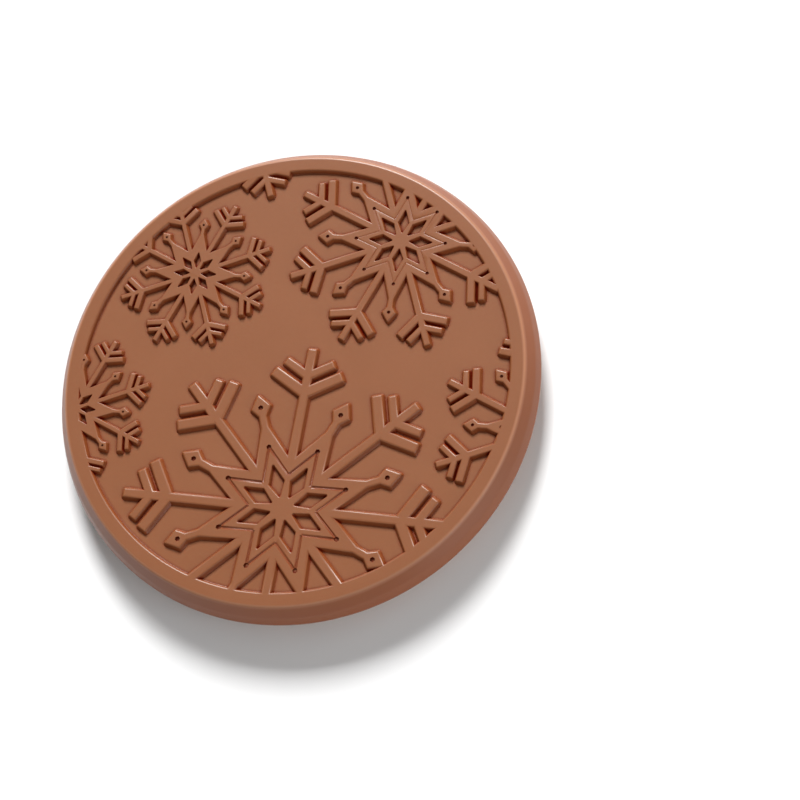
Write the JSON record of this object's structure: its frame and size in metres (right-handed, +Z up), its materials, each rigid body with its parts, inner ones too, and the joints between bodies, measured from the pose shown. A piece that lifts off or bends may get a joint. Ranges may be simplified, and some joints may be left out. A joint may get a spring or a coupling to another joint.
{
  "type": "chocolate sugar cookie",
  "caption": "Round embossed sugar biscuit set into the back of a milk-chocolate disc whose face carries raised snowflakes inside a flat rim.",
  "frame": {"origin": "centre of the underside, on the surface that the cookie lies on", "axes": "+Z up through the disc's thickness, with the snowflake face on top; +Y from the large snowflake towards the opposite rim"},
  "size_m": [0.0572, 0.0572, 0.006],
  "materials": {
    "milk_chocolate": "satin milk chocolate",
    "baked_biscuit": "dry pale baked crumb, browner at the rim and in the grooves"
  },
  "bodies": {
    "root": {"chocolate_disc": "milk_chocolate", "sugar_biscuit": "baked_biscuit"}
  },
  "joints": []
}
